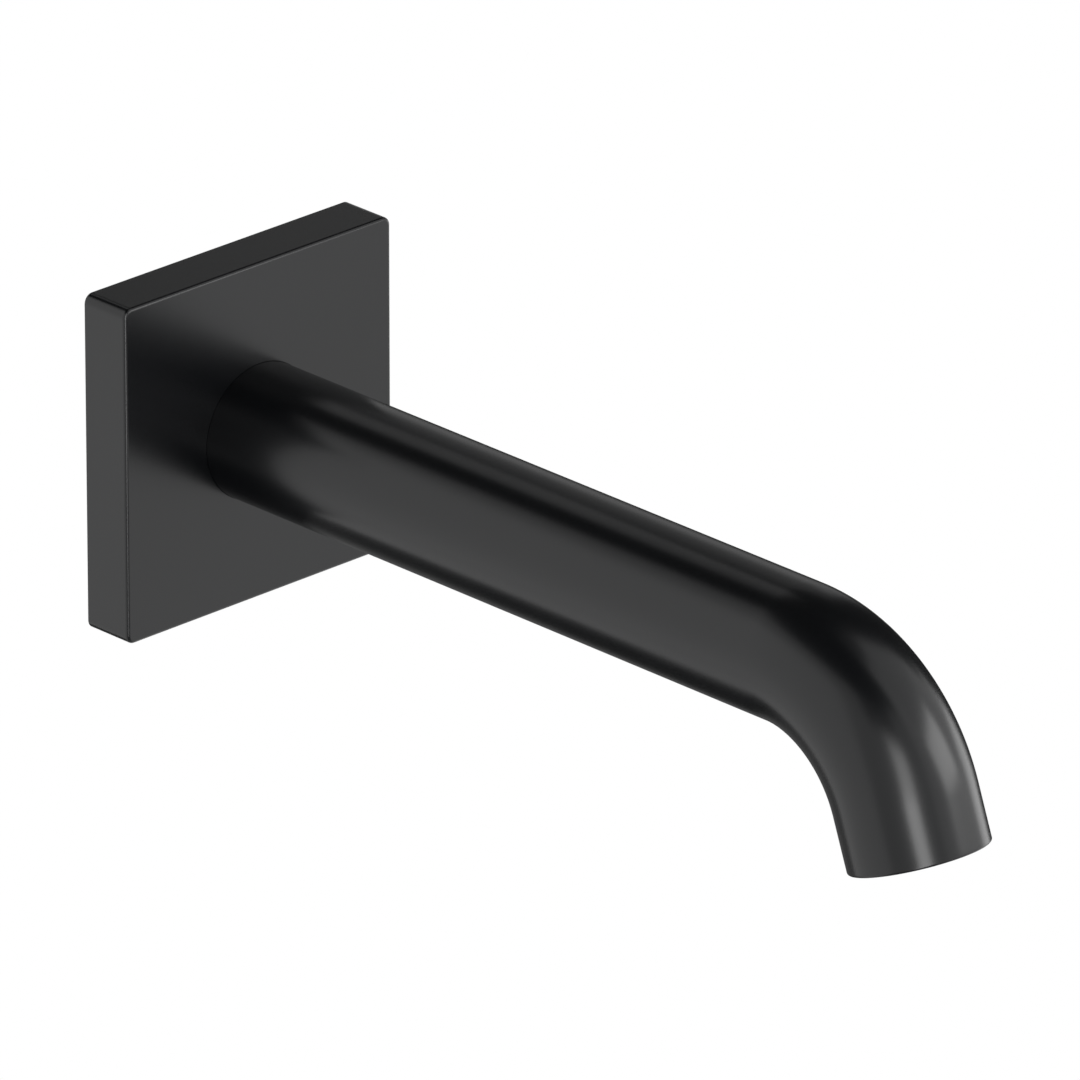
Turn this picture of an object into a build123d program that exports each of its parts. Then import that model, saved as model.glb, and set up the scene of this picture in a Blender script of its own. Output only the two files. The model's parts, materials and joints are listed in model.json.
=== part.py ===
from build123d import *
import os
from math import ceil, cos, hypot, pi, radians, sin, sqrt

os.makedirs("parts", exist_ok=True)

# Bath spout for a wall: the wall plane is y = 0, the spout reaches out along -Y, and +Z is up.
# Lengths are in millimetres and angles in degrees.

# Spout tube
tube_radius = 16.0
tube_wall = 1.5
outlet_projection = 220.0  # wall to the middle of the outlet
bend_radius = 36.0  # of the tube's centreline
bend_angle = 70.0
wall_gap = 1.0  # wall to the tube's end
outlet_rounding = 0.6  # outer edge of the outlet

# Escutcheon and its seals
escutcheon_side = 80.0
escutcheon_depth = 13.0
escutcheon_corner = 2.2
escutcheon_rounding = 0.8  # edge round the front face
escutcheon_wall = 4.0
escutcheon_face = 2.6  # thickness of the front
hollow_corner = 3.0
tube_clearance = 0.08  # seam between the tube and the escutcheon's bore
collar_wall = 2.4  # behind the seal groove
rib_thickness = 2.0
rib_depth = 4.0
seal_rim = 1.8  # metal rim outside the wall seal
seal_depth = 3.0
seal_corner = 1.0
seal_clearance = 0.1
tube_seal_section = 2.0
tube_seal_height = 1.6  # squeezed between groove and tube

# Inlet: threaded nipple in the wall, socket in the tube
pipe_thread_radius = 10.4775  # G1/2, outside diameter 20.955
pipe_thread_reach = 16.0
fitting_setback = 1.5  # finished wall to the face of the fitting behind it
pipe_thread_chamfer = 1.0
relief_width = 2.0
relief_depth = 1.2
socket_wall = 2.4
braze_gap = 0.05
slip_clearance = 0.05
nipple_wall = 2.02  # between the seal grooves and the key socket's corners
key_depth = 10.0
key_to_bore = 0.2  # step from the key socket's flats to the bore
nipple_seal_section = 2.5
nipple_seal_height = 1.95  # squeezed between groove and socket
seal_groove_room = 0.4
seal_spacing = 7.0
spigot_lead = 1.5
spigot_lead_height = 0.8
spigot_end_room = 5.0  # front seal to the end of the spigot
socket_end_room = 3.0  # end of the spigot to the end of the socket
socket_lead = 2.0
socket_lead_height = 0.8
socket_chamfer = 1.0

# Grub screw under the tube
screw_radius = 3.0  # M6
screw_setback = 9.0  # in front of the escutcheon
screw_recess = 0.4  # below the tube's surface
screw_groove_depth = 1.4
screw_groove_room = 0.4
screw_to_seal = 9.0
screw_key = 3.0
screw_key_depth = 2.5
screw_chamfer = 0.6
thread_clearance = 0.05

# Outlet: brazed ring and recessed aerator, listed from the outlet inwards
outlet_ring_wall = 2.4
aerator_recess = 0.8
housing_wall = 1.4
housing_chamfer = 0.4
lip_thickness = 1.2
lip_width = 1.3
notch_count = 12
notch_width = 1.6
notch_depth = 0.9
disc_clearance = 0.1
honeycomb_thickness = 3.0
honeycomb_rim = 1.5
cell_size = 1.9  # across flats
cell_web = 0.35
grid_thickness = 1.2
grid_rim = 1.6
bar_width = 0.6
bar_thickness = 0.7
bar_pitch = 2.2
jet_plate_thickness = 1.6
jet_size = 1.0  # across flats
jet_rings = 3
jet_margin = 1.0  # outer jets to the basket's inside
jets_per_ring = 6
prefilter_rim = 0.8
basket_height = 5.5
basket_wall = 0.7
basket_taper = 1.2
basket_clearance = 1.0
basket_slot_count = 20
basket_slot_width = 0.9
washer_thickness = 1.5
washer_clearance = 0.3
seat_width = 2.5
seat_thickness = 1.7

# Sizes that follow from these
tube_bore = tube_radius - tube_wall
brazed_radius = tube_bore - braze_gap
thread_bore = brazed_radius - outlet_ring_wall
aerator_radius = thread_bore - thread_clearance  # M24x1
housing_bore = aerator_radius - housing_wall
lip_radius = housing_bore - lip_width
disc_radius = housing_bore - disc_clearance
seat_bore = thread_bore - seat_width
basket_radius = seat_bore - basket_clearance
jet_ring_step = (basket_radius - basket_wall - jet_margin - jet_size / 2) / jet_rings

# Places along the outlet's axis, measured inwards from the outlet
honeycomb_start = aerator_recess + lip_thickness
lower_grid_start = honeycomb_start + honeycomb_thickness
upper_grid_start = lower_grid_start + grid_thickness
jet_plate_start = upper_grid_start + grid_thickness
prefilter_start = jet_plate_start + jet_plate_thickness
washer_start = prefilter_start + prefilter_rim
basket_top = prefilter_start + basket_height
seat_start = washer_start + washer_thickness
outlet_ring_length = seat_start + seat_thickness

# The tube runs straight, bends down, and ends with a straight piece as long as the ring inside it
outlet_straight = outlet_ring_length
bend = radians(bend_angle)
straight_run = outlet_projection - bend_radius * sin(bend) - outlet_straight * cos(bend)
outlet_drop = bend_radius * (1 - cos(bend)) + outlet_straight * sin(bend)
upstream = Vector(0, cos(bend), sin(bend))
outlet_centre = Vector(0, -outlet_projection, -outlet_drop)

# Inlet radii and places along the inlet's axis, measured outwards from the wall
socket_bore = brazed_radius - socket_wall
spigot_radius = socket_bore - slip_clearance
seal_floor = socket_bore - nipple_seal_height
key_size = 2 * (seal_floor - nipple_wall) * cos(pi / 6)  # across flats
nipple_bore = key_size / 2 - key_to_bore
screw_floor = spigot_radius - screw_groove_depth
screw_length = tube_radius - screw_recess - screw_floor
screw_place = escutcheon_depth + screw_setback
rear_seal_place = screw_place + screw_to_seal
front_seal_place = rear_seal_place + seal_spacing
spigot_end = front_seal_place + spigot_end_room
socket_end = spigot_end + socket_end_room
thread_start = -fitting_setback - relief_width
thread_end = -fitting_setback - pipe_thread_reach

# Escutcheon places, measured outwards from the wall
hollow_depth = escutcheon_depth - escutcheon_face
hollow_side = escutcheon_side - 2 * escutcheon_wall
rebate_side = escutcheon_side - 2 * seal_rim
escutcheon_bore = tube_radius + tube_clearance
tube_seal_floor = tube_radius + tube_seal_height
tube_seal_place = (seal_depth + hollow_depth) / 2
collar_radius = tube_seal_floor + collar_wall

# Planes: sketches across an axis, and sections along it with the axis as x and the radius as y
wall_plane = Plane(origin=(0, 0, 0), x_dir=(1, 0, 0), z_dir=(0, -1, 0))
inlet_section = Plane(origin=(0, 0, 0), x_dir=(0, -1, 0), z_dir=(-1, 0, 0))
inlet_axis = Axis((0, 0, 0), (0, -1, 0))
outlet_plane = Plane(origin=outlet_centre, x_dir=(1, 0, 0), z_dir=upstream)
outlet_section = Plane(origin=outlet_centre, x_dir=upstream, z_dir=upstream.cross(Vector(1, 0, 0)))
outlet_axis = Axis(outlet_centre, upstream)
screw_plane = Plane(origin=(0, -screw_place, -screw_floor - screw_length), z_dir=(0, 0, -1))
tapped_hole_plane = Plane(origin=(0, -screw_place, -tube_radius), z_dir=(0, 0, -1))


def squeezed_width(section, height):
    """Width of a round seal that is pressed flat to a height, with the area of its section kept."""
    return height + pi / 4 * (section**2 - height**2) / height


def seal_ring(place, floor, section, height):
    """Seal ring round the inlet's axis, resting on a groove floor and squeezed to a height."""
    side_chamfer = height * sqrt((1 - pi / 4) / 2)  # leaves the area of a section with round sides
    with BuildPart() as ring:
        with BuildSketch(inlet_section) as squeezed:
            with Locations((place, floor + height / 2)):
                Rectangle(squeezed_width(section, height), height)
            chamfer(squeezed.vertices(), side_chamfer)
        revolve(axis=inlet_axis)
    return ring


# Spout tube
with BuildPart() as spout_tube:
    with BuildLine(inlet_section):
        run = Line((wall_gap, 0), (straight_run, 0))
        turn = JernArc(run @ 1, run % 1, bend_radius, -bend_angle)
        Line(turn @ 1, turn @ 1 + outlet_straight * (turn % 1))
    with BuildSketch(Plane(origin=run @ 0, z_dir=run % 0)):
        Circle(tube_radius)
        Circle(tube_bore, mode=Mode.SUBTRACT)
    sweep()
    outlet_face = spout_tube.faces().sort_by_distance(outlet_centre)[0]
    fillet(outlet_face.outer_wire().edges(), outlet_rounding)
    with Locations(tapped_hole_plane):
        Hole(screw_radius + thread_clearance, depth=tube_radius)

# Socket brazed into the wall end of the tube
with BuildPart() as inlet_socket:
    with BuildSketch(inlet_section):
        with BuildLine():
            Polyline(
                (wall_gap, socket_bore + socket_lead_height),
                (wall_gap, brazed_radius),
                (socket_end - socket_chamfer, brazed_radius),
                (socket_end, brazed_radius - socket_chamfer),
                (socket_end, socket_bore),
                (wall_gap + socket_lead, socket_bore),
                close=True,
            )
        make_face()
    revolve(axis=inlet_axis)
    with Locations(tapped_hole_plane):
        Hole(screw_radius + thread_clearance, depth=tube_radius)

# Nipple that screws into the wall
with BuildPart() as connection_nipple:
    with BuildSketch(inlet_section):
        with BuildLine():
            Polyline(
                (thread_end, nipple_bore),
                (thread_end, pipe_thread_radius - pipe_thread_chamfer),
                (thread_end + pipe_thread_chamfer, pipe_thread_radius),
                (thread_start, pipe_thread_radius),
                (thread_start, pipe_thread_radius - relief_depth),
                (-fitting_setback, pipe_thread_radius - relief_depth),
                (-fitting_setback, spigot_radius),
                (spigot_end - spigot_lead, spigot_radius),
                (spigot_end, spigot_radius - spigot_lead_height),
                (spigot_end, nipple_bore),
                close=True,
            )
        make_face()
    revolve(axis=inlet_axis)
    with BuildSketch(inlet_section):
        with Locations((rear_seal_place, seal_floor), (front_seal_place, seal_floor)):
            Rectangle(
                squeezed_width(nipple_seal_section, nipple_seal_height) + seal_groove_room,
                nipple_seal_height,
                align=(Align.CENTER, Align.MIN),
            )
        with Locations((screw_place, screw_floor)):
            Rectangle(
                2 * screw_radius + screw_groove_room,
                2 * screw_groove_depth,
                align=(Align.CENTER, Align.MIN),
            )
    revolve(axis=inlet_axis, mode=Mode.SUBTRACT)
    with BuildSketch(wall_plane.offset(spigot_end)):
        RegularPolygon(key_size / 2, 6, major_radius=False)
    extrude(amount=-key_depth, mode=Mode.SUBTRACT)

# Seals on the spigot
nipple_o_ring_rear = seal_ring(rear_seal_place, seal_floor, nipple_seal_section, nipple_seal_height)
nipple_o_ring_front = seal_ring(front_seal_place, seal_floor, nipple_seal_section, nipple_seal_height)

# Grub screw with a hexagon socket
with BuildPart() as grub_screw:
    with BuildSketch(screw_plane):
        Circle(screw_radius)
    extrude(amount=-screw_length)
    chamfer(grub_screw.edges().filter_by(GeomType.CIRCLE), screw_chamfer)
    with BuildSketch(screw_plane):
        RegularPolygon(screw_key / 2, 6, major_radius=False)
    extrude(amount=-screw_key_depth, mode=Mode.SUBTRACT)

# Escutcheon: hollow square cover with a collar round the tube
with BuildPart() as escutcheon:
    with BuildSketch(wall_plane):
        RectangleRounded(escutcheon_side, escutcheon_side, escutcheon_corner)
    extrude(amount=escutcheon_depth)
    fillet(escutcheon.faces().sort_by(Axis.Y)[0].edges(), escutcheon_rounding)
    with BuildSketch(wall_plane):
        RectangleRounded(hollow_side, hollow_side, hollow_corner)
    extrude(amount=hollow_depth, mode=Mode.SUBTRACT)
    with BuildSketch(wall_plane):
        RectangleRounded(rebate_side, rebate_side, seal_corner)
    extrude(amount=seal_depth, mode=Mode.SUBTRACT)
    with BuildSketch(wall_plane.offset(hollow_depth)):
        Circle(collar_radius)
    extrude(amount=seal_depth - hollow_depth)
    with BuildSketch(wall_plane.offset(hollow_depth)):
        with PolarLocations((hollow_side / 2 + collar_radius) / 2, 4):
            Rectangle(hollow_side / 2 - collar_radius + rib_thickness, rib_thickness)
    extrude(amount=-rib_depth)
    with BuildSketch(wall_plane):
        Circle(escutcheon_bore)
    extrude(amount=escutcheon_depth, mode=Mode.SUBTRACT)
    with BuildSketch(inlet_section):
        with Locations((tube_seal_place, tube_seal_floor)):
            Rectangle(
                squeezed_width(tube_seal_section, tube_seal_height) + seal_groove_room,
                tube_seal_height,
                align=(Align.CENTER, Align.MAX),
            )
    revolve(axis=inlet_axis, mode=Mode.SUBTRACT)

# Seal ring that holds the escutcheon on the tube
escutcheon_o_ring = seal_ring(tube_seal_place, tube_radius, tube_seal_section, tube_seal_height)

# Foam frame against the wall
with BuildPart() as wall_seal:
    with BuildSketch(wall_plane):
        seal_side = rebate_side - 2 * seal_clearance
        RectangleRounded(seal_side, seal_side, seal_corner)
        RectangleRounded(hollow_side, hollow_side, hollow_corner, mode=Mode.SUBTRACT)
    extrude(amount=seal_depth)

# Ring brazed into the outlet, with the seat for the aerator
with BuildPart() as outlet_ring:
    with BuildSketch(outlet_section):
        with BuildLine():
            Polyline(
                (0, thread_bore + housing_chamfer),
                (0, brazed_radius),
                (outlet_ring_length, brazed_radius),
                (outlet_ring_length, seat_bore),
                (seat_start, seat_bore),
                (seat_start, thread_bore),
                (housing_chamfer, thread_bore),
                close=True,
            )
        make_face()
    revolve(axis=outlet_axis)

# Aerator housing with a notched lip, which its key turns and air passes
with BuildPart() as aerator_housing:
    with BuildSketch(outlet_section):
        with BuildLine():
            Polyline(
                (aerator_recess, lip_radius),
                (aerator_recess, aerator_radius - housing_chamfer),
                (aerator_recess + housing_chamfer, aerator_radius),
                (washer_start - housing_chamfer, aerator_radius),
                (washer_start, aerator_radius - housing_chamfer),
                (washer_start, housing_bore),
                (honeycomb_start, housing_bore),
                (honeycomb_start, lip_radius),
                close=True,
            )
        make_face()
    revolve(axis=outlet_axis)
    with BuildSketch(outlet_plane.offset(aerator_recess)):
        with PolarLocations(lip_radius, notch_count):
            Rectangle(2 * notch_depth, notch_width)
    extrude(amount=lip_thickness, mode=Mode.SUBTRACT)

# Honeycomb at the outlet, with air slots in its rim behind the housing's notches
cell_pitch = cell_size + cell_web
column_step = cell_pitch * sqrt(3) / 2
cell_field = disc_radius - honeycomb_rim - cell_size / 2
reach = ceil(cell_field / column_step)
cells = [
    (column_step * column, cell_pitch * (row + column % 2 / 2))
    for column in range(-reach, reach + 1)
    for row in range(-reach, reach + 1)
]
with BuildPart() as aerator_honeycomb:
    with BuildSketch(outlet_plane.offset(honeycomb_start)):
        Circle(disc_radius)
        with Locations(*[cell for cell in cells if hypot(*cell) <= cell_field]):
            RegularPolygon(cell_size / 2, 6, major_radius=False, mode=Mode.SUBTRACT)
        with PolarLocations(disc_radius, notch_count):
            Rectangle(2 * notch_depth, notch_width, mode=Mode.SUBTRACT)
    extrude(amount=honeycomb_thickness)


def mixing_grid(start, bar_angle):
    """Ring with a row of bars across it, which break the jets, and vents in its rim for the air."""
    across = Vector(1, 0, 0).rotate(Axis((0, 0, 0), upstream), bar_angle)
    base = Plane(origin=outlet_centre + start * upstream, x_dir=across, z_dir=upstream)
    opening = disc_radius - grid_rim
    bar_count = 2 * int((opening - bar_width) / bar_pitch) + 1
    with BuildPart() as grid:
        with BuildSketch(base):
            Circle(disc_radius)
            Circle(opening, mode=Mode.SUBTRACT)
            with PolarLocations(disc_radius, notch_count):
                Rectangle(2 * notch_depth, notch_width, mode=Mode.SUBTRACT)
        extrude(amount=grid_thickness)
        with BuildSketch(base.offset(bar_thickness)):
            with PolarLocations(disc_radius, notch_count):
                Rectangle(4 * grid_rim, notch_width)
        extrude(amount=grid_thickness - bar_thickness, mode=Mode.SUBTRACT)
        with BuildSketch(base):
            with GridLocations(bar_pitch, 0, bar_count, 1):
                Rectangle(bar_width, 2 * disc_radius)
            Circle(opening, mode=Mode.INTERSECT)
        extrude(amount=bar_thickness)
    return grid


aerator_lower_grid = mixing_grid(lower_grid_start, 0)
aerator_upper_grid = mixing_grid(upper_grid_start, 90)

# Plate that splits the water into jets
with BuildPart() as aerator_jet_plate:
    with BuildSketch(outlet_plane.offset(jet_plate_start)):
        Circle(disc_radius)
        for ring in range(1, jet_rings + 1):
            with PolarLocations(ring * jet_ring_step, ring * jets_per_ring):
                RegularPolygon(jet_size / 2, 6, major_radius=False, mode=Mode.SUBTRACT)
    extrude(amount=jet_plate_thickness)

# Basket strainer that stands through the seat into the bend
with BuildPart() as aerator_prefilter:
    with BuildSketch(outlet_section):
        with BuildLine():
            Polyline(
                (prefilter_start, basket_radius - basket_wall),
                (prefilter_start, disc_radius),
                (washer_start, disc_radius),
                (washer_start, basket_radius),
                (basket_top, basket_radius - basket_taper),
                (basket_top, 0),
                (basket_top - basket_wall, 0),
                (basket_top - basket_wall, basket_radius - basket_taper - basket_wall),
                close=True,
            )
        make_face()
    revolve(axis=outlet_axis)
    with BuildSketch(outlet_plane.offset(washer_start + basket_wall)):
        with PolarLocations(basket_radius - basket_wall, basket_slot_count):
            Rectangle(4 * basket_wall + basket_taper, basket_slot_width)
    extrude(amount=basket_height - prefilter_rim - 3 * basket_wall, mode=Mode.SUBTRACT)
    with BuildSketch(outlet_plane.offset(basket_top)):
        for ring in range(1, jet_rings):
            with PolarLocations(ring * jet_ring_step, ring * jets_per_ring):
                RegularPolygon(jet_size / 2, 6, major_radius=False)
    extrude(amount=-basket_wall, mode=Mode.SUBTRACT)

# Washer between the aerator and its seat
with BuildPart() as aerator_washer:
    with BuildSketch(outlet_plane.offset(washer_start)):
        Circle(thread_bore - washer_clearance)
        Circle(seat_bore, mode=Mode.SUBTRACT)
    extrude(amount=washer_thickness)

pieces = {
    "spout_tube": spout_tube,
    "inlet_socket": inlet_socket,
    "connection_nipple": connection_nipple,
    "nipple_o_ring_rear": nipple_o_ring_rear,
    "nipple_o_ring_front": nipple_o_ring_front,
    "grub_screw": grub_screw,
    "escutcheon": escutcheon,
    "escutcheon_o_ring": escutcheon_o_ring,
    "wall_seal": wall_seal,
    "outlet_ring": outlet_ring,
    "aerator_housing": aerator_housing,
    "aerator_honeycomb": aerator_honeycomb,
    "aerator_lower_grid": aerator_lower_grid,
    "aerator_upper_grid": aerator_upper_grid,
    "aerator_jet_plate": aerator_jet_plate,
    "aerator_prefilter": aerator_prefilter,
    "aerator_washer": aerator_washer,
}
for name, piece in pieces.items():
    piece.part.label = name
    export_step(piece.part, f"parts/{name}.step")
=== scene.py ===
import bpy
import json
from math import asin, atan2, cos, degrees, pi, radians, sin, tan
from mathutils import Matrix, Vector


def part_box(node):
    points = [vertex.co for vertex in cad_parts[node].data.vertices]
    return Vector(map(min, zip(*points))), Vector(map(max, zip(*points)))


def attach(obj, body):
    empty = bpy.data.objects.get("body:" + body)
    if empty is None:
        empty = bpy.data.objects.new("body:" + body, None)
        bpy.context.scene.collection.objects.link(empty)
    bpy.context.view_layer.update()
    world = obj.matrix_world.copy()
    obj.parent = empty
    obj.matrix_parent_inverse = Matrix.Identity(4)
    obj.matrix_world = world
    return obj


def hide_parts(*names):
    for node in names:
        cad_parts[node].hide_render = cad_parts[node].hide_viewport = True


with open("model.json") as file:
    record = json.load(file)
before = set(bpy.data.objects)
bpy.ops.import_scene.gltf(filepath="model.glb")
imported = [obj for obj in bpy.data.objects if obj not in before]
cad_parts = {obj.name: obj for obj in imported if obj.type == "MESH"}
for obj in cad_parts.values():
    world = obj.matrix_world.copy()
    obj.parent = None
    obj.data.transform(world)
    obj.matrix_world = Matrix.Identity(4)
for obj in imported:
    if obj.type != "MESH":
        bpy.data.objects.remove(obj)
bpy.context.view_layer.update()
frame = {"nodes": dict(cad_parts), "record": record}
print("frame loaded:", len(frame["nodes"]), "nodes")


# shader maths: a Wire is one socket, and expressions on wires add nodes
class Wire:
    def __init__(self, tree, socket=None):
        self.tree = tree
        self.socket = socket

    def node(self, kind, settings=None, inputs=None, output=0):
        made = self.tree.nodes.new(kind)
        for key, value in (settings or {}).items():
            setattr(made, key, value)
        for key, value in (inputs or {}).items():
            if isinstance(value, Wire):
                self.tree.links.new(value.socket, made.inputs[key])
            else:
                made.inputs[key].default_value = value
        return Wire(self.tree, made.outputs[output] if made.outputs else None)

    def other(self, output):  # another output of the same node
        return Wire(self.tree, self.socket.node.outputs[output])

    def calc(self, operation, first, second=0.0):
        return self.node("ShaderNodeMath", {"operation": operation}, {0: first, 1: second})

    def __add__(self, other):
        return self.calc("ADD", self, other)

    def __radd__(self, other):
        return self.calc("ADD", other, self)

    def __sub__(self, other):
        return self.calc("SUBTRACT", self, other)

    def __rsub__(self, other):
        return self.calc("SUBTRACT", other, self)

    def __mul__(self, other):
        return self.calc("MULTIPLY", self, other)

    def __rmul__(self, other):
        return self.calc("MULTIPLY", other, self)


colourMix = {"share": 0, "first": 6, "second": 7, "result": 2}  # sockets of a Mix node for colours
noiseMiddle = 0.5  # noise runs from 0 to 1 about this value


def newTree(name):
    material = bpy.data.materials.new(name)
    material.use_nodes = True
    material.node_tree.nodes.clear()
    return material, Wire(material.node_tree)


def surface(wire, inputs, bump, bumpDepth):  # depth in metres
    relief = {"Strength": 1.0, "Distance": bumpDepth, "Height": bump}
    lifted = wire.node("ShaderNodeBump", None, relief)
    shader = wire.node("ShaderNodeBsdfPrincipled", None, {**inputs, "Normal": lifted})
    wire.node("ShaderNodeOutputMaterial", None, {"Surface": shader})


def objectPlace(wire):
    return wire.node("ShaderNodeTexCoord", None, None, "Object")


def noise(wire, grain, detail=2.0, stretch=(1, 1, 1)):  # grain in metres
    drawn = wire.node("ShaderNodeMapping", None, {"Vector": objectPlace(wire), "Scale": stretch})
    return wire.node("ShaderNodeTexNoise", None, {"Vector": drawn, "Scale": 1 / grain, "Detail": detail})


def mixed(first, second, share):  # a share of the first, the rest of the second
    return first * share + second * (1 - share)


def mixColours(wire, share, first, second):  # from the first to the second
    inputs = {colourMix["share"]: share, colourMix["first"]: first, colourMix["second"]: second}
    return wire.node("ShaderNodeMix", {"data_type": "RGBA"}, inputs, colourMix["result"])


def tint(wire, share, dark, light):
    return mixColours(wire, share, (*dark, 1), (*light, 1))


# satin black coating of the tube, the plate and the outlet ring
coat = {
    "dark": (0.0017, 0.0021, 0.0028),  # a touch of blue in the black
    "light": (0.0030, 0.0035, 0.0044),
    "ior": 1.53,
    "roughness": 0.25,
    "roughnessSpread": 0.05,
    "grain": 0.00045,  # fine orange peel
    "grainDetail": 3.0,
    "cloud": 0.014,  # slow change of the gloss
    "cloudShare": 0.6,  # the rest of that change is grain
    "depth": 0.0000006,
}
# thin, dry spray inside the plate's hollow
drySpray = {
    "dark": (0.030, 0.030, 0.031),
    "light": (0.060, 0.060, 0.060),
    "roughness": 0.62,
    "roughnessSpread": 0.2,
    "half": 0.0381,  # half of the hollow's width, up to the rim
    "deepest": -0.0106,
    "speck": 0.0003,
    "drift": 0.011,
    "driftDetail": 3.0,
    "driftShare": 0.5,  # the rest is specks
}


def hollowShare(wire):  # 1 in the plate's hollow, 0 outside it
    x = wire.node("ShaderNodeSeparateXYZ", None, {"Vector": objectPlace(wire)})
    aside = wire.calc("MAXIMUM", wire.calc("ABSOLUTE", x), wire.calc("ABSOLUTE", x.other("Z")))
    within = wire.calc("LESS_THAN", aside, drySpray["half"])
    return within * wire.calc("GREATER_THAN", x.other("Y"), drySpray["deepest"])


def blackCoat(name, hollow=False):
    material, wire = newTree(name)
    grain = noise(wire, coat["grain"], coat["grainDetail"])
    cloud = noise(wire, coat["cloud"])
    colour = tint(wire, grain, coat["dark"], coat["light"])
    gloss = mixed(cloud, grain, coat["cloudShare"]) - noiseMiddle
    roughness = coat["roughness"] + gloss * coat["roughnessSpread"]
    if hollow:
        drift = noise(wire, drySpray["drift"], drySpray["driftDetail"])
        specks = mixed(drift, noise(wire, drySpray["speck"]), drySpray["driftShare"])
        dry = hollowShare(wire)
        dryColour = tint(wire, specks, drySpray["dark"], drySpray["light"])
        dryRoughness = drySpray["roughness"] + specks * drySpray["roughnessSpread"]
        colour = mixColours(wire, dry, colour, dryColour)
        roughness = mixed(dryRoughness, roughness, dry)
    inputs = {"Base Color": colour, "Roughness": roughness, "IOR": coat["ior"]}
    surface(wire, inputs, grain, coat["depth"])
    return material


# turned brass of the nipple and the socket
brass = {
    "dark": (0.60, 0.40, 0.15),
    "light": (0.80, 0.58, 0.26),
    "roughness": 0.24,
    "roughnessSpread": 0.16,
    "toolMark": 0.00016,  # feed of the turning tool
    "markDetail": 1.0,
    "markStretch": (0.02, 1, 0.02),  # rings round the Y axis
    "stain": 0.004,
    "stainDetail": 4.0,
    "stainInColour": 0.7,  # the rest is tool marks
    "stainInGloss": 0.5,
    "depth": 0.0000025,
}


def turnedBrass():
    material, wire = newTree("turnedBrass")
    marks = noise(wire, brass["toolMark"], brass["markDetail"], brass["markStretch"])
    stain = noise(wire, brass["stain"], brass["stainDetail"])
    tone = mixed(stain, marks, brass["stainInColour"])
    gloss = mixed(stain, marks, brass["stainInGloss"]) - noiseMiddle
    inputs = {
        "Base Color": tint(wire, tone, brass["dark"], brass["light"]),
        "Metallic": 1.0,
        "Roughness": brass["roughness"] + gloss * brass["roughnessSpread"],
    }
    surface(wire, inputs, marks, brass["depth"])
    return material


# plain finishes that share one build: two tones, a grain and its depth
cloudSize = 20  # clouds of tone, in grains
finishes = {
    "sealRubber": {
        "dark": (0.012, 0.012, 0.012), "light": (0.022, 0.022, 0.023), "metallic": 0.0,
        "roughness": 0.55, "roughnessSpread": 0.14, "grain": 0.0006, "depth": 0.000006,
    },
    "stainlessSteel": {
        "dark": (0.46, 0.46, 0.47), "light": (0.66, 0.66, 0.66), "metallic": 1.0,
        "roughness": 0.3, "roughnessSpread": 0.16, "grain": 0.0003, "depth": 0.000004,
    },
    "blackMoulding": {
        "dark": (0.016, 0.016, 0.017), "light": (0.03, 0.03, 0.031), "metallic": 0.0,
        "roughness": 0.46, "roughnessSpread": 0.14, "grain": 0.00025, "depth": 0.000008,
    },
    "greyMoulding": {
        "dark": (0.12, 0.12, 0.125), "light": (0.17, 0.17, 0.18), "metallic": 0.0,
        "roughness": 0.42, "roughnessSpread": 0.14, "grain": 0.00025, "depth": 0.000006,
    },
    "whiteMoulding": {
        "dark": (0.70, 0.70, 0.67), "light": (0.80, 0.80, 0.78), "metallic": 0.0,
        "roughness": 0.4, "roughnessSpread": 0.14, "grain": 0.00025, "depth": 0.000006,
    },
}


def grainedFinish(name):
    finish = finishes[name]
    material, wire = newTree(name)
    grain = noise(wire, finish["grain"])
    cloud = noise(wire, finish["grain"] * cloudSize)
    inputs = {
        "Base Color": tint(wire, cloud, finish["dark"], finish["light"]),
        "Metallic": finish["metallic"],
        "Roughness": finish["roughness"] + (grain - noiseMiddle) * finish["roughnessSpread"],
    }
    surface(wire, inputs, grain, finish["depth"])
    return material


# closed-cell foam of the wall seal
foam = {
    "dark": (0.018, 0.018, 0.019),
    "light": (0.05, 0.05, 0.052),
    "roughness": 0.8,
    "roughnessSpread": 0.15,
    "cell": 0.00035,
    "depth": 0.00006,
}


def cellFoam():
    material, wire = newTree("cellFoam")
    spacing = {"Vector": objectPlace(wire), "Scale": 1 / foam["cell"]}
    cells = wire.node("ShaderNodeTexVoronoi", None, spacing, "Distance")
    inputs = {
        "Base Color": tint(wire, cells, foam["dark"], foam["light"]),
        "Roughness": foam["roughness"] + cells * foam["roughnessSpread"],
    }
    surface(wire, inputs, 1 - cells, foam["depth"])
    return material


materials = {
    "black_coat": blackCoat("satinBlackCoat"),
    "brass": turnedBrass(),
    "foam": cellFoam(),
    "rubber": grainedFinish("sealRubber"),
    "stainless": grainedFinish("stainlessSteel"),
    "black_plastic": grainedFinish("blackMoulding"),
    "grey_plastic": grainedFinish("greyMoulding"),
    "white_plastic": grainedFinish("whiteMoulding"),
}
slotOf = {row["node"]: row["material_slot"] for row in frame["record"]["subparts"]}
for nodeName, nodeObject in frame["nodes"].items():
    nodeObject.data.materials.clear()
    nodeObject.data.materials.append(materials[slotOf[nodeName]])
frame["nodes"]["escutcheon"].data.materials[0] = blackCoat("plateCoat", hollow=True)
print("finishes set:", len(materials) + 1)


# steps that every new piece shares
closeBy = 0.000001  # points nearer to each other than this are one
sliverSize = 0.000002  # what is thinner than this after a cut is closed up


def deselectAll():
    bpy.ops.object.select_all(action="DESELECT")


def takeUp(piece):  # the only one selected
    deselectAll()
    piece.select_set(True)
    bpy.context.view_layer.objects.active = piece


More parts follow.
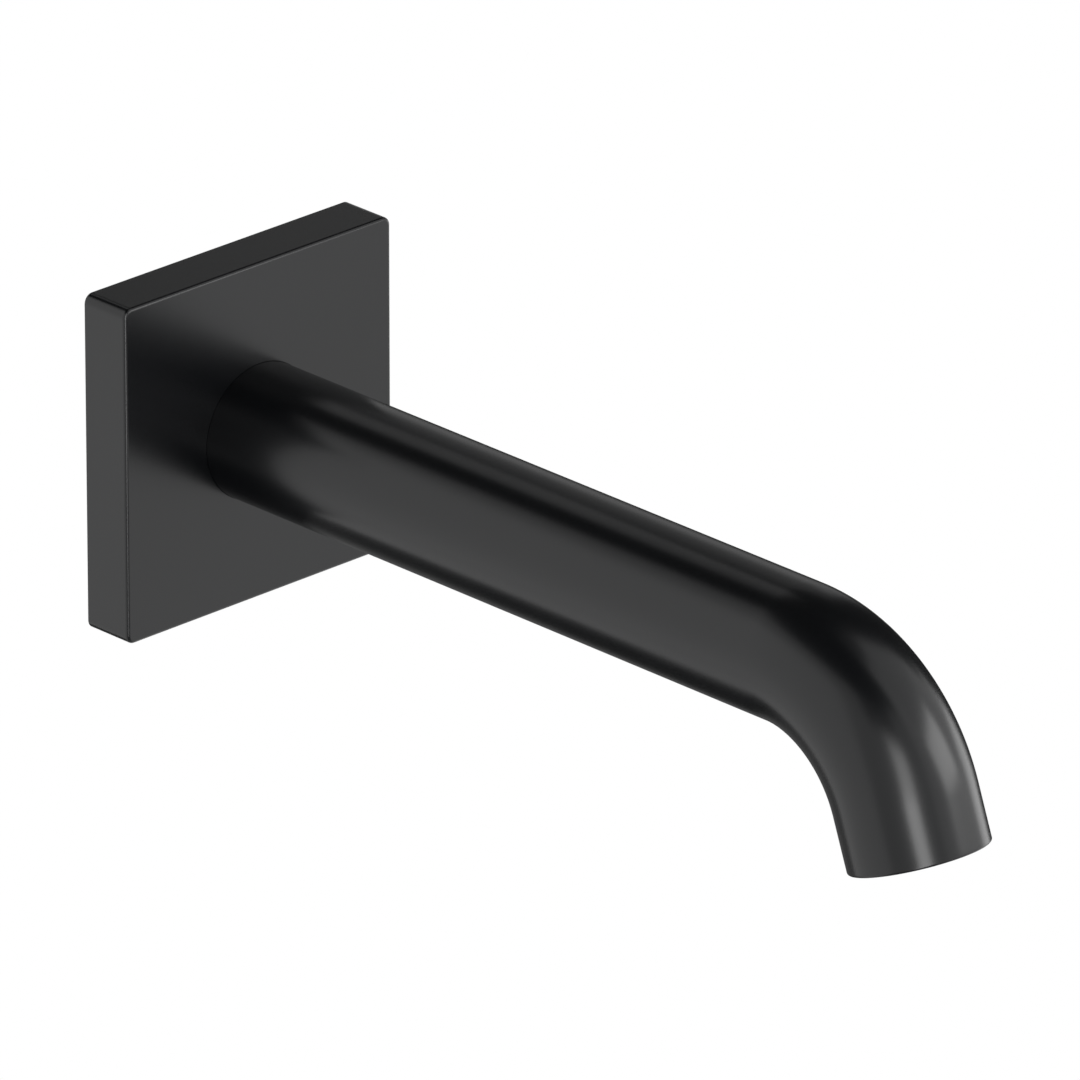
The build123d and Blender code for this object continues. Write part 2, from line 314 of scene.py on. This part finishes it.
def editAll(piece):
    takeUp(piece)
    bpy.ops.object.mode_set(mode="EDIT")
    bpy.ops.mesh.select_all(action="SELECT")


def leaveEdit():
    bpy.ops.object.mode_set(mode="OBJECT")


def pick(piece, items, rule, selectMode):  # edit mode with the items that meet a rule selected
    bpy.context.tool_settings.mesh_select_mode = selectMode
    editAll(piece)
    bpy.ops.mesh.select_all(action="DESELECT")
    leaveEdit()
    for item in items:
        item.select = rule(item)
    bpy.ops.object.mode_set(mode="EDIT")


def pickVertices(piece, rule):
    pick(piece, piece.data.vertices, rule, (True, False, False))


def pickEdges(piece, rule):  # by the places of an edge's two ends
    points = piece.data.vertices

    def meetsRule(edge):
        first, second = edge.vertices
        return rule(points[first].co, points[second].co)

    pick(piece, piece.data.edges, meetsRule, (False, True, False))


def pickFaces(piece, rule):
    pick(piece, piece.data.polygons, rule, (False, False, True))


def settle(piece):  # the place goes into the mesh
    takeUp(piece)
    bpy.ops.object.transform_apply(location=True, rotation=True, scale=True)


def smooth(piece, angle):
    takeUp(piece)
    bpy.ops.object.shade_smooth_by_angle(angle=radians(angle))


def evenShade(piece, angle):  # large faces keep their own shading up to a rounding
    smooth(piece, angle)
    even = piece.modifiers.new("evenShade", "WEIGHTED_NORMAL")
    even.keep_sharp = True
    bpy.ops.object.modifier_apply(modifier=even.name)


def copyOfNode(nodeName, pieceName):
    piece = bpy.data.objects.new(pieceName, frame["nodes"][nodeName].data.copy())
    bpy.context.scene.collection.objects.link(piece)
    editAll(piece)
    bpy.ops.mesh.remove_doubles(threshold=closeBy)
    bpy.ops.mesh.customdata_custom_splitnormals_clear()
    leaveEdit()
    return piece


def cutAway(piece, cutter):
    takeUp(piece)
    cut = piece.modifiers.new("cut", "BOOLEAN")
    cut.operation = "DIFFERENCE"
    cut.solver = "EXACT"
    cut.object = cutter
    bpy.ops.object.modifier_apply(modifier=cut.name)
    bpy.data.objects.remove(cutter)
    editAll(piece)
    bpy.ops.mesh.remove_doubles(threshold=sliverSize)
    bpy.ops.mesh.dissolve_degenerate(threshold=sliverSize)
    leaveEdit()


def standFor(piece, nodeName):
    piece.data.materials.clear()
    piece.data.materials.append(materials[slotOf[nodeName]])
    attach(piece, "root")
    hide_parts(nodeName)


# spout tube, drawn out ring by ring so that reflections run on through the bend
spoutTube = {
    "wall": 0.0015,
    "reach": 0.220,  # wall to the middle of the outlet
    "bendRadius": 0.036,
    "bendAngle": 70,
    "endRun": 0.013,  # straight piece after the bend
    "rimRound": 0.0006,
    "nearRim": 0.00001,  # how far from the outlet's end a point of its rim may be
    "nearOutside": 0.0001,  # and from the tube's outside
    "screwHole": 0.00305,  # radius, under the tube, for the grub screw
    "screwPlace": -0.022,
    "holeSides": 48,
    "around": 160,
    "runSteps": 24,
    "bendSteps": 56,
    "endSteps": 6,
    "rimSteps": 6,
    "shadeAngle": 30,
}


def drawOut(steps, step):  # the selected ring goes on in even steps
    for _ in range(steps):
        bpy.ops.mesh.extrude_region_move(TRANSFORM_OT_translate={"value": step})


def bentTube():
    low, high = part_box("spout_tube")
    radius = (high.x - low.x) / 2
    bendRadius = spoutTube["bendRadius"]
    bend = radians(spoutTube["bendAngle"])
    ahead = Vector((0, -cos(bend), -sin(bend)))  # out of the outlet
    bendStart = bendRadius * sin(bend) + spoutTube["endRun"] * cos(bend) - spoutTube["reach"]
    drop = bendRadius * (1 - cos(bend)) + spoutTube["endRun"] * sin(bend)
    outlet = Vector((0, -spoutTube["reach"], -drop))
    deselectAll()
    bpy.ops.mesh.primitive_circle_add(
        vertices=spoutTube["around"], radius=radius, location=(0, high.y, 0), rotation=(pi / 2, 0, 0)
    )
    tube = bpy.context.object
    tube.name = "bentTube"
    settle(tube)
    editAll(tube)
    drawOut(spoutTube["runSteps"], (0, (bendStart - high.y) / spoutTube["runSteps"], 0))
    bpy.ops.mesh.spin(
        steps=spoutTube["bendSteps"], angle=bend, center=(0, bendStart, -bendRadius), axis=(-1, 0, 0)
    )
    drawOut(spoutTube["endSteps"], ahead * (spoutTube["endRun"] / spoutTube["endSteps"]))
    bpy.ops.mesh.select_all(action="SELECT")
    bpy.ops.mesh.remove_doubles(threshold=closeBy)
    bpy.ops.mesh.normals_make_consistent(inside=False)
    leaveEdit()
    wall = tube.modifiers.new("wall", "SOLIDIFY")
    wall.thickness = spoutTube["wall"]
    wall.offset = -1  # inwards
    wall.use_even_offset = True
    bpy.ops.object.modifier_apply(modifier=wall.name)

    def onRim(point):
        out = point - outlet
        atEnd = abs(out.dot(ahead)) < spoutTube["nearRim"]
        return atEnd and abs(out.length - radius) < spoutTube["nearOutside"]

    pickEdges(tube, lambda first, second: onRim(first) and onRim(second))
    bpy.ops.mesh.bevel(offset=spoutTube["rimRound"], segments=spoutTube["rimSteps"], affect="EDGES")
    leaveEdit()
    deselectAll()
    bpy.ops.mesh.primitive_cylinder_add(
        vertices=spoutTube["holeSides"],
        radius=spoutTube["screwHole"],
        depth=radius / 2,  # through the lower wall only
        location=(0, spoutTube["screwPlace"], -radius),
    )
    cutAway(tube, bpy.context.object)
    evenShade(tube, spoutTube["shadeAngle"])
    standFor(tube, "spout_tube")
    return tube


tubePiece = bentTube()
print("tube drawn:", len(tubePiece.data.polygons), "faces")


# nipple with its pipe thread cut into it
thread = {
    "radius": 0.0104775,  # outside radius of the pipe thread
    "pitch": 0.0254 / 14,  # fourteen turns to the inch
    "depth": 0.00116,
    "rootWidth": 0.0003,
    "flankAngle": 27.5,
    "start": 0.0026,  # turns begin in the relief groove
    "turns": 9,
    "steps": 72,
    "overshoot": 0.0002,  # cutter stands out of the crests
    "shadeAngle": 25,
}


def threadCutter():
    rootHalf = thread["rootWidth"] / 2
    tall = thread["depth"] + thread["overshoot"]
    mouthHalf = rootHalf + tall * tan(radians(thread["flankAngle"]))
    inner = thread["radius"] - thread["depth"]
    outer = inner + tall
    deselectAll()
    bpy.ops.mesh.primitive_plane_add(size=1, location=(0, 0, 0), rotation=(0, 0, 0))
    cutter = bpy.context.object
    corners = [(inner, -rootHalf), (outer, -mouthHalf), (inner, rootHalf), (outer, mouthHalf)]
    for vertex, (across, along) in zip(cutter.data.vertices, corners):
        vertex.co = (across, along + thread["start"], 0)
    editAll(cutter)
    bpy.ops.mesh.delete(type="ONLY_FACE")
    leaveEdit()
    screw = cutter.modifiers.new("turns", "SCREW")
    screw.axis = "Y"
    screw.screw_offset = thread["pitch"]
    screw.iterations = thread["turns"]
    screw.steps = thread["steps"]
    screw.render_steps = thread["steps"]
    screw.use_merge_vertices = False
    bpy.ops.object.modifier_apply(modifier=screw.name)
    editAll(cutter)
    bpy.ops.mesh.select_all(action="DESELECT")
    bpy.ops.mesh.select_non_manifold()  # both open ends
    bpy.ops.mesh.edge_face_add()
    bpy.ops.mesh.select_all(action="SELECT")
    bpy.ops.mesh.normals_make_consistent(inside=False)
    leaveEdit()
    return cutter


def threadedNipple():
    nipple = copyOfNode("connection_nipple", "threadedNipple")
    cutAway(nipple, threadCutter())
    editAll(nipple)  # long cut faces become triangles with no empty ones left
    bpy.ops.mesh.quads_convert_to_tris(ngon_method="BEAUTY")
    bpy.ops.mesh.dissolve_degenerate(threshold=sliverSize)
    leaveEdit()
    smooth(nipple, thread["shadeAngle"])
    standFor(nipple, "connection_nipple")
    return nipple


nipplePiece = threadedNipple()
print("thread cut:", len(nipplePiece.data.polygons), "faces")


# seal rings with the round sides of squeezed rubber
sealRing = {
    "around": 128,
    "across": 28,
    "spigotSection": 0.00195,  # height between groove and bore
    "plateSection": 0.0016,
    "shadeAngle": 60,
}


def squeezedRing(nodeName, pieceName, section):
    low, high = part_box(nodeName)
    middle = (low.y + high.y) / 2
    outer = (high.x - low.x) / 2
    spread = (high.y - low.y - section) / 2
    deselectAll()
    bpy.ops.mesh.primitive_torus_add(
        major_segments=sealRing["around"],
        minor_segments=sealRing["across"],
        major_radius=outer - section / 2,
        minor_radius=section / 2,
        location=(0, middle, 0),
        rotation=(pi / 2, 0, 0),
    )
    ring = bpy.context.object
    ring.name = pieceName
    settle(ring)
    for side in (-1, 1):
        pickVertices(ring, lambda vertex: (vertex.co.y - middle) * side > closeBy)
        bpy.ops.transform.translate(value=(0, side * spread, 0))
        leaveEdit()
    smooth(ring, sealRing["shadeAngle"])
    return ring


def copiedRing(ring, ringNode, nodeName, pieceName):  # with its own mesh, in the other node's place
    takeUp(ring)
    bpy.ops.object.duplicate(linked=False)
    twin = bpy.context.object
    twin.name = pieceName
    twin.location.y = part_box(nodeName)[0].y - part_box(ringNode)[0].y
    settle(twin)
    return twin


rearRing = squeezedRing("nipple_o_ring_rear", "rearSpigotRing", sealRing["spigotSection"])
rings = {
    "nipple_o_ring_rear": rearRing,
    "nipple_o_ring_front": copiedRing(
        rearRing, "nipple_o_ring_rear", "nipple_o_ring_front", "frontSpigotRing"
    ),
    "escutcheon_o_ring": squeezedRing("escutcheon_o_ring", "plateGripRing", sealRing["plateSection"]),
}
for nodeName, ring in rings.items():
    standFor(ring, nodeName)
print("seal rings made:", len(rings))


# foam frame in the plate's rear rim
wallSeal = {
    "inner": 0.072,  # clear opening
    "outerCorner": 0.001,
    "innerCorner": 0.003,
    "cornerSteps": 6,
    "sideCuts": 36,
    "softEdge": 0.0005,
    "softSteps": 3,
    "sharpAngle": 60,  # edges sharper than this are softened
    "unevenness": 0.00006,  # hand-laid foam is never quite flat
    "seed": 4,
    "shadeAngle": 60,
}


def roundedLoop(side, corner):
    deselectAll()
    bpy.ops.mesh.primitive_plane_add(size=side, location=(0, 0, 0), rotation=(pi / 2, 0, 0))
    loop = bpy.context.object
    settle(loop)
    editAll(loop)
    bpy.ops.mesh.bevel(offset=corner, segments=wallSeal["cornerSteps"], affect="VERTICES")
    bpy.ops.mesh.select_all(action="SELECT")
    bpy.ops.mesh.delete(type="ONLY_FACE")
    leaveEdit()
    return loop


def foamFrame():
    low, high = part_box("wall_seal")
    outer = roundedLoop(high.x - low.x, wallSeal["outerCorner"])
    inner = roundedLoop(wallSeal["inner"], wallSeal["innerCorner"])
    takeUp(outer)
    inner.select_set(True)
    bpy.ops.object.join()
    seal = outer
    seal.name = "foamFrame"
    editAll(seal)
    bpy.ops.mesh.bridge_edge_loops()
    leaveEdit()
    longSide = wallSeal["inner"] / 2
    pickEdges(seal, lambda first, second: (first - second).length > longSide)
    bpy.ops.mesh.subdivide(number_cuts=wallSeal["sideCuts"])
    bpy.ops.mesh.select_all(action="SELECT")
    bpy.ops.mesh.extrude_region_move(TRANSFORM_OT_translate={"value": (0, low.y - high.y, 0)})
    bpy.ops.mesh.select_all(action="SELECT")
    bpy.ops.mesh.normals_make_consistent(inside=False)
    bpy.ops.mesh.select_all(action="DESELECT")
    bpy.ops.mesh.edges_select_sharp(sharpness=radians(wallSeal["sharpAngle"]))
    bpy.ops.mesh.bevel(offset=wallSeal["softEdge"], segments=wallSeal["softSteps"], affect="EDGES")
    bpy.ops.mesh.select_all(action="SELECT")
    bpy.ops.transform.vertex_random(offset=wallSeal["unevenness"], seed=wallSeal["seed"])
    leaveEdit()
    smooth(seal, wallSeal["shadeAngle"])
    standFor(seal, "wall_seal")
    return seal


foamPiece = foamFrame()
print("foam frame made:", len(foamPiece.data.polygons), "faces")

# studio
studio = {
    "middle": (0.0, -0.11, 0.0),  # of the spout
    "bend": (0.0, -0.215, -0.015),
    "floorDrop": 1.3,
    "floorSize": 120.0,
    "floorTone": 0.9,
    "roomLevel": 0.55,  # light of the room on matt surfaces
    "cardRadius": 1.2,
    "cardColumns": 144,
    "cardRows": 72,
}


def grey(level):
    return (level, level, level, 1)


def whiteWhereSeen(wire):  # 1 for what the camera sees, also by reflection or through glass
    camera = wire.node("ShaderNodeLightPath", None, None, "Is Camera Ray")
    mirrored = wire.calc("MAXIMUM", camera.other("Is Glossy Ray"), camera.other("Is Transmission Ray"))
    return wire.calc("MAXIMUM", camera, mirrored)


def makeRoom():
    world = bpy.data.worlds.new("studioRoom")
    world.use_nodes = True
    world.node_tree.nodes.clear()
    bpy.context.scene.world = world
    wire = Wire(world.node_tree)
    lit = wire.node("ShaderNodeBackground", None, {"Color": grey(studio["roomLevel"])})
    shown = wire.node("ShaderNodeBackground", None, {"Color": grey(1)})
    both = wire.node("ShaderNodeMixShader", None, {0: whiteWhereSeen(wire), 1: lit, 2: shown})
    wire.node("ShaderNodeOutputWorld", None, {"Surface": both})


def makeFloor():
    deselectAll()
    bpy.ops.mesh.primitive_plane_add(size=studio["floorSize"], location=(0, 0, -studio["floorDrop"]))
    floor = bpy.context.object
    floor.name = "floor"
    settle(floor)
    material, wire = newTree("paleFloor")
    matt = wire.node("ShaderNodeBsdfDiffuse", None, {"Color": grey(studio["floorTone"])})
    shown = wire.node("ShaderNodeEmission", None, {"Color": grey(1), "Strength": 1.0})
    both = wire.node("ShaderNodeMixShader", None, {0: whiteWhereSeen(wire), 1: matt, 2: shown})
    wire.node("ShaderNodeOutputMaterial", None, {"Surface": both})
    floor.data.materials.append(material)


# cards that only reflections see: grey tone, azimuth from +Y towards +X, and elevation
cards = {  # where two overlap, the first one counts
    "sidePatch": {"tone": 0.50, "azimuth": (15, 35), "elevation": (35, 50)},
    "sideLow": {"tone": 0.37, "azimuth": (35, 61), "elevation": (-3, 15)},
    "sideStep": {"tone": 0.42, "azimuth": (54, 61), "elevation": (15, 24)},
    "sideTop": {"tone": 0.21, "azimuth": (35, 60), "elevation": (15, 38)},
    "back": {"tone": 0.03, "azimuth": (-15, 80), "elevation": (-25, 90)},
    "backLow": {"tone": 0.03, "azimuth": (80, 83), "elevation": (-25, 2)},
    "backRight": {"tone": 0.03, "azimuth": (80, 88), "elevation": (2, 72)},
    "backTop": {"tone": 0.03, "azimuth": (88, 94), "elevation": (18, 45)},
    "backCrown": {"tone": 0.03, "azimuth": (88, 98), "elevation": (45, 72)},
    "aboveBox": {"tone": 0.82, "azimuth": (94, 165), "elevation": (35, 45)},
    "overBox": {"tone": 0.82, "azimuth": (98, 165), "elevation": (45, 72)},
    "ceilingFront": {"tone": 0.17, "azimuth": (80, 180), "elevation": (72, 90)},
    "ceiling": {"tone": 0.03, "azimuth": (-180, -15), "elevation": (50, 90)},
    "leftTop": {"tone": 0.64, "azimuth": (-120, -15), "elevation": (40, 50)},
    "stripTop": {"tone": 0.17, "azimuth": (-158, -120), "elevation": (35, 50)},
    "leftFront": {"tone": 0.64, "azimuth": (-138, -100), "elevation": (-25, 40)},
    "front": {"tone": 0.64, "azimuth": (-180, -158), "elevation": (-25, 50)},
    "lowFront": {"tone": 0.17, "azimuth": (-180, -100), "elevation": (-60, -25)},
    "lowFrontRight": {"tone": 0.17, "azimuth": (168, 180), "elevation": (-60, -25)},
    "lowFrontFade": {"tone": 0.42, "azimuth": (158, 168), "elevation": (-60, -25)},
    "lowFrontEnd": {"tone": 0.64, "azimuth": (150, 158), "elevation": (-60, -25)},
    "lowBackTop": {"tone": 0.17, "azimuth": (-18, 57), "elevation": (-44, -25)},
    "lowBackLeft": {"tone": 0.03, "azimuth": (-31, -18), "elevation": (-44, -42)},
    "lowBack": {"tone": 0.03, "azimuth": (-31, 35), "elevation": (-60, -44)},
    "lowLeft": {"tone": 0.90, "azimuth": (-60, -25), "elevation": (-60, -27)},
    "underneath": {"tone": 0.42, "azimuth": (-180, 180), "elevation": (-90, -60)},
}


def covers(card, out):
    left, right = card["azimuth"]
    low, high = card["elevation"]
    return left <= degrees(atan2(out.x, out.y)) < right and low <= degrees(asin(out.z)) < high


def cardAt(face):
    out = face.center.normalized()
    for number, card in enumerate(cards.values()):
        if covers(card, out):
            return number
    return None  # open to the white room


def makeCards():
    deselectAll()
    bpy.ops.mesh.primitive_uv_sphere_add(
        segments=studio["cardColumns"],
        ring_count=studio["cardRows"],
        radius=studio["cardRadius"],
        location=studio["middle"],
    )
    shell = bpy.context.object
    shell.name = "studioCards"
    pickFaces(shell, lambda face: cardAt(face) is None)
    bpy.ops.mesh.delete(type="FACE")
    leaveEdit()
    for name, card in cards.items():
        material, wire = newTree(name + "Card")
        dull = wire.node("ShaderNodeEmission", None, {"Color": grey(card["tone"]), "Strength": 1.0})
        wire.node("ShaderNodeOutputMaterial", None, {"Surface": dull})
        shell.data.materials.append(material)
    for face in shell.data.polygons:
        face.material_index = cardAt(face)
    settle(shell)
    shell.visible_camera = False
    shell.visible_diffuse = False
    shell.visible_shadow = False
    shell.visible_transmission = False


# soft boxes: the point they face, where they stand as seen from it, their size and radiance
softBoxes = {
    "stripLow": {
        "facing": studio["middle"], "azimuth": -148, "elevation": -7.5, "distance": 1.6,
        "width": 0.56, "height": 1.01, "radiance": 4.5,
    },
    "stripHigh": {
        "facing": studio["middle"], "azimuth": -148, "elevation": 21.2, "distance": 1.6,
        "width": 0.52, "height": 0.63, "radiance": 2.7,
    },
    "boxRight": {
        "facing": studio["bend"], "azimuth": 138.5, "elevation": 22.2, "distance": 0.42,
        "width": 0.257, "height": 0.202, "radiance": 3.1,
    },
    "boxSkirt": {
        "facing": studio["bend"], "azimuth": 138, "elevation": 3, "distance": 0.42,
        "width": 0.36, "height": 0.085, "radiance": 0.42,
    },
    "boxLow": {
        "facing": studio["middle"], "azimuth": 98, "elevation": -7, "distance": 1.6,
        "width": 0.57, "height": 0.74, "radiance": 1.38,
    },
}


def makeSoftBox(name, box):
    turn = radians(box["azimuth"])
    tilt = radians(box["elevation"])
    away = Vector((sin(turn) * cos(tilt), cos(turn) * cos(tilt), sin(tilt)))
    light = bpy.data.lights.new(name, "AREA")
    light.shape = "RECTANGLE"
    light.size = box["width"]
    light.size_y = box["height"]
    light.energy = box["radiance"] * pi * box["width"] * box["height"]
    lamp = bpy.data.objects.new(name, light)
    bpy.context.scene.collection.objects.link(lamp)
    lamp.location = Vector(box["facing"]) + away * box["distance"]
    lamp.rotation_euler = (-away).to_track_quat("-Z", "Y").to_euler()


# camera: the photograph's view
view = {
    "lens": 562.82,
    "azimuth": -43.79,
    "elevation": 23.326,
    "distance": 3.74278,
    "aimRight": 0.07099,  # middle of the picture from the origin
    "aimUp": -0.02796,
}


def makeCamera():
    turn = radians(view["azimuth"])
    tilt = radians(view["elevation"])
    back = Vector((sin(turn) * cos(tilt), -cos(turn) * cos(tilt), sin(tilt)))
    right = Vector((cos(turn), sin(turn), 0))
    up = back.cross(right)
    data = bpy.data.cameras.new("camera")
    data.lens = view["lens"]
    camera = bpy.data.objects.new("camera", data)
    bpy.context.scene.collection.objects.link(camera)
    camera.location = back * view["distance"] + right * view["aimRight"] + up * view["aimUp"]
    camera.rotation_euler = (pi / 2 - tilt, 0, turn)
    bpy.context.scene.camera = camera


makeRoom()
makeFloor()
makeCards()
for boxName, boxSettings in softBoxes.items():
    makeSoftBox(boxName, boxSettings)
makeCamera()
bpy.context.scene.view_settings.view_transform = "Standard"
print("studio ready:", len(cards), "cards and", len(softBoxes), "soft boxes")
